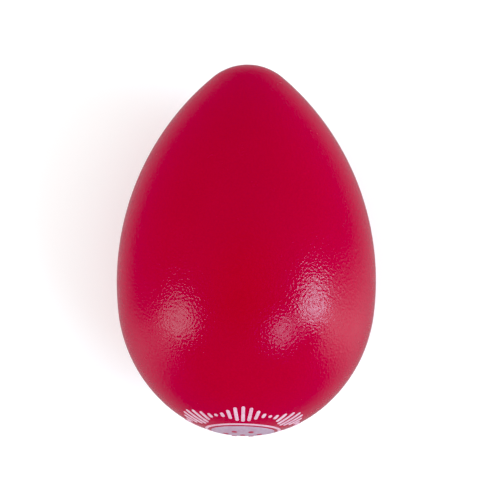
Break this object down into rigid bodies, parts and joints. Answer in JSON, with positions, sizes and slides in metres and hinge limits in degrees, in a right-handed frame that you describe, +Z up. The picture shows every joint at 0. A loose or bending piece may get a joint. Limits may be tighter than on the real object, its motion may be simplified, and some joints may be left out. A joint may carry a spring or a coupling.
{
  "type": "egg shaker",
  "caption": "Hollow egg-shaped hand shaker: two welded plastic shells with loose steel shot sealed inside, lying on its side.",
  "frame": {"origin": "on the surface it lies on, under the middle of its bounding box", "axes": "+Z up; +Y towards the narrow end, with the long axis dipping 7.3 degrees below +Y, the tilt at which the egg settles; the printed base end faces -Y"},
  "size_m": [0.042, 0.0603, 0.0424],
  "materials": {
    "red_shell": "moulded ABS, fine pebble texture, satin sheen",
    "weld_plastic": "remelted ABS bead, hidden in the joint",
    "pale_ink": "pad-printed pale lilac ink over the shell's texture",
    "white_ink": "pad-printed white ink, the red showing through a little",
    "red_ink": "pad-printed red ink over the disc",
    "shot_steel": "tumbled bright steel balls"
  },
  "bodies": {
    "egg": {"base_end_shell": "red_shell", "narrow_end_shell": "red_shell", "seam_weld": "weld_plastic", "print_disc": "pale_ink", "print_ring": "white_ink", "print_strokes": "white_ink", "print_dots": "red_ink"},
    "shot_01": {"shot_01": "shot_steel"},
    "shot_02": {"shot_02": "shot_steel"},
    "shot_03": {"shot_03": "shot_steel"},
    "shot_04": {"shot_04": "shot_steel"},
    "shot_05": {"shot_05": "shot_steel"},
    "shot_06": {"shot_06": "shot_steel"},
    "shot_07": {"shot_07": "shot_steel"},
    "shot_08": {"shot_08": "shot_steel"},
    "shot_09": {"shot_09": "shot_steel"},
    "shot_10": {"shot_10": "shot_steel"},
    "shot_11": {"shot_11": "shot_steel"},
    "shot_12": {"shot_12": "shot_steel"},
    "shot_13": {"shot_13": "shot_steel"},
    "shot_14": {"shot_14": "shot_steel"},
    "shot_15": {"shot_15": "shot_steel"},
    "shot_16": {"shot_16": "shot_steel"},
    "shot_17": {"shot_17": "shot_steel"},
    "shot_18": {"shot_18": "shot_steel"},
    "shot_19": {"shot_19": "shot_steel"},
    "shot_20": {"shot_20": "shot_steel"},
    "shot_21": {"shot_21": "shot_steel"},
    "shot_22": {"shot_22": "shot_steel"},
    "shot_23": {"shot_23": "shot_steel"},
    "shot_24": {"shot_24": "shot_steel"},
    "shot_25": {"shot_25": "shot_steel"},
    "shot_26": {"shot_26": "shot_steel"},
    "shot_27": {"shot_27": "shot_steel"},
    "shot_28": {"shot_28": "shot_steel"},
    "shot_29": {"shot_29": "shot_steel"},
    "shot_30": {"shot_30": "shot_steel"},
    "shot_31": {"shot_31": "shot_steel"},
    "shot_32": {"shot_32": "shot_steel"},
    "shot_33": {"shot_33": "shot_steel"},
    "shot_34": {"shot_34": "shot_steel"},
    "shot_35": {"shot_35": "shot_steel"},
    "shot_36": {"shot_36": "shot_steel"},
    "shot_37": {"shot_37": "shot_steel"},
    "shot_38": {"shot_38": "shot_steel"},
    "shot_39": {"shot_39": "shot_steel"},
    "shot_40": {"shot_40": "shot_steel"},
    "shot_41": {"shot_41": "shot_steel"}
  },
  "joints": [
    {"name": "shot_01_throw", "type": "slide", "parent": "egg", "child": "shot_01", "axis": [0, 0.1271, 0.9919], "range_m": [0, 0.02971]},
    {"name": "shot_02_throw", "type": "slide", "parent": "egg", "child": "shot_02", "axis": [0, 0.1271, 0.9919], "range_m": [0, 0.03088]},
    {"name": "shot_03_throw", "type": "slide", "parent": "egg", "child": "shot_03", "axis": [0, 0.1271, 0.9919], "range_m": [0, 0.02971]},
    {"name": "shot_04_throw", "type": "slide", "parent": "egg", "child": "shot_04", "axis": [0, 0.1271, 0.9919], "range_m": [0, 0.03039]},
    {"name": "shot_05_throw", "type": "slide", "parent": "egg", "child": "shot_05", "axis": [0, 0.1271, 0.9919], "range_m": [0, 0.03263]},
    {"name": "shot_06_throw", "type": "slide", "parent": "egg", "child": "shot_06", "axis": [0, 0.1271, 0.9919], "range_m": [0, 0.03263]},
    {"name": "shot_07_throw", "type": "slide", "parent": "egg", "child": "shot_07", "axis": [0, 0.1271, 0.9919], "range_m": [0, 0.03039]},
    {"name": "shot_08_throw", "type": "slide", "parent": "egg", "child": "shot_08", "axis": [0, 0.1271, 0.9919], "range_m": [0, 0.02918]},
    {"name": "shot_09_throw", "type": "slide", "parent": "egg", "child": "shot_09", "axis": [0, 0.1271, 0.9919], "range_m": [0, 0.03261]},
    {"name": "shot_10_throw", "type": "slide", "parent": "egg", "child": "shot_10", "axis": [0, 0.1271, 0.9919], "range_m": [0, 0.03367]},
    {"name": "shot_11_throw", "type": "slide", "parent": "egg", "child": "shot_11", "axis": [0, 0.1271, 0.9919], "range_m": [0, 0.03261]},
    {"name": "shot_12_throw", "type": "slide", "parent": "egg", "child": "shot_12", "axis": [0, 0.1271, 0.9919], "range_m": [0, 0.02918]},
    {"name": "shot_13_throw", "type": "slide", "parent": "egg", "child": "shot_13", "axis": [0, 0.1271, 0.9919], "range_m": [0, 0.02642]},
    {"name": "shot_14_throw", "type": "slide", "parent": "egg", "child": "shot_14", "axis": [0, 0.1271, 0.9919], "range_m": [0, 0.0313]},
    {"name": "shot_15_throw", "type": "slide", "parent": "egg", "child": "shot_15", "axis": [0, 0.1271, 0.9919], "range_m": [0, 0.03348]},
    {"name": "shot_16_throw", "type": "slide", "parent": "egg", "child": "shot_16", "axis": [0, 0.1271, 0.9919], "range_m": [0, 0.03348]},
    {"name": "shot_17_throw", "type": "slide", "parent": "egg", "child": "shot_17", "axis": [0, 0.1271, 0.9919], "range_m": [0, 0.0313]},
    {"name": "shot_18_throw", "type": "slide", "parent": "egg", "child": "shot_18", "axis": [0, 0.1271, 0.9919], "range_m": [0, 0.02642]},
    {"name": "shot_19_throw", "type": "slide", "parent": "egg", "child": "shot_19", "axis": [0, 0.1271, 0.9919], "range_m": [0, 0.02858]},
    {"name": "shot_20_throw", "type": "slide", "parent": "egg", "child": "shot_20", "axis": [0, 0.1271, 0.9919], "range_m": [0, 0.03207]},
    {"name": "shot_21_throw", "type": "slide", "parent": "egg", "child": "shot_21", "axis": [0, 0.1271, 0.9919], "range_m": [0, 0.03315]},
    {"name": "shot_22_throw", "type": "slide", "parent": "egg", "child": "shot_22", "axis": [0, 0.1271, 0.9919], "range_m": [0, 0.03207]},
    {"name": "shot_23_throw", "type": "slide", "parent": "egg", "child": "shot_23", "axis": [0, 0.1271, 0.9919], "range_m": [0, 0.02858]},
    {"name": "shot_24_throw", "type": "slide", "parent": "egg", "child": "shot_24", "axis": [0, 0.1271, 0.9919], "range_m": [0, 0.02398]},
    {"name": "shot_25_throw", "type": "slide", "parent": "egg", "child": "shot_25", "axis": [0, 0.1271, 0.9919], "range_m": [0, 0.02928]},
    {"name": "shot_26_throw", "type": "slide", "parent": "egg", "child": "shot_26", "axis": [0, 0.1271, 0.9919], "range_m": [0, 0.03159]},
    {"name": "shot_27_throw", "type": "slide", "parent": "egg", "child": "shot_27", "axis": [0, 0.1271, 0.9919], "range_m": [0, 0.03159]},
    {"name": "shot_28_throw", "type": "slide", "parent": "egg", "child": "shot_28", "axis": [0, 0.1271, 0.9919], "range_m": [0, 0.02928]},
    {"name": "shot_29_throw", "type": "slide", "parent": "egg", "child": "shot_29", "axis": [0, 0.1271, 0.9919], "range_m": [0, 0.02398]},
    {"name": "shot_30_throw", "type": "slide", "parent": "egg", "child": "shot_30", "axis": [0, 0.1271, 0.9919], "range_m": [0, 0.02471]},
    {"name": "shot_31_throw", "type": "slide", "parent": "egg", "child": "shot_31", "axis": [0, 0.1271, 0.9919], "range_m": [0, 0.02867]},
    {"name": "shot_32_throw", "type": "slide", "parent": "egg", "child": "shot_32", "axis": [0, 0.1271, 0.9919], "range_m": [0, 0.02988]},
    {"name": "shot_33_throw", "type": "slide", "parent": "egg", "child": "shot_33", "axis": [0, 0.1271, 0.9919], "range_m": [0, 0.02867]},
    {"name": "shot_34_throw", "type": "slide", "parent": "egg", "child": "shot_34", "axis": [0, 0.1271, 0.9919], "range_m": [0, 0.02471]},
    {"name": "shot_35_throw", "type": "slide", "parent": "egg", "child": "shot_35", "axis": [0, 0.1271, 0.9919], "range_m": [0, 0.024]},
    {"name": "shot_36_throw", "type": "slide", "parent": "egg", "child": "shot_36", "axis": [0, 0.1271, 0.9919], "range_m": [0, 0.02678]},
    {"name": "shot_37_throw", "type": "slide", "parent": "egg", "child": "shot_37", "axis": [0, 0.1271, 0.9919], "range_m": [0, 0.02678]},
    {"name": "shot_38_throw", "type": "slide", "parent": "egg", "child": "shot_38", "axis": [0, 0.1271, 0.9919], "range_m": [0, 0.024]},
    {"name": "shot_39_throw", "type": "slide", "parent": "egg", "child": "shot_39", "axis": [0, 0.1271, 0.9919], "range_m": [0, 0.02191]},
    {"name": "shot_40_throw", "type": "slide", "parent": "egg", "child": "shot_40", "axis": [0, 0.1271, 0.9919], "range_m": [0, 0.02347]},
    {"name": "shot_41_throw", "type": "slide", "parent": "egg", "child": "shot_41", "axis": [0, 0.1271, 0.9919], "range_m": [0, 0.02191]}
  ]
}
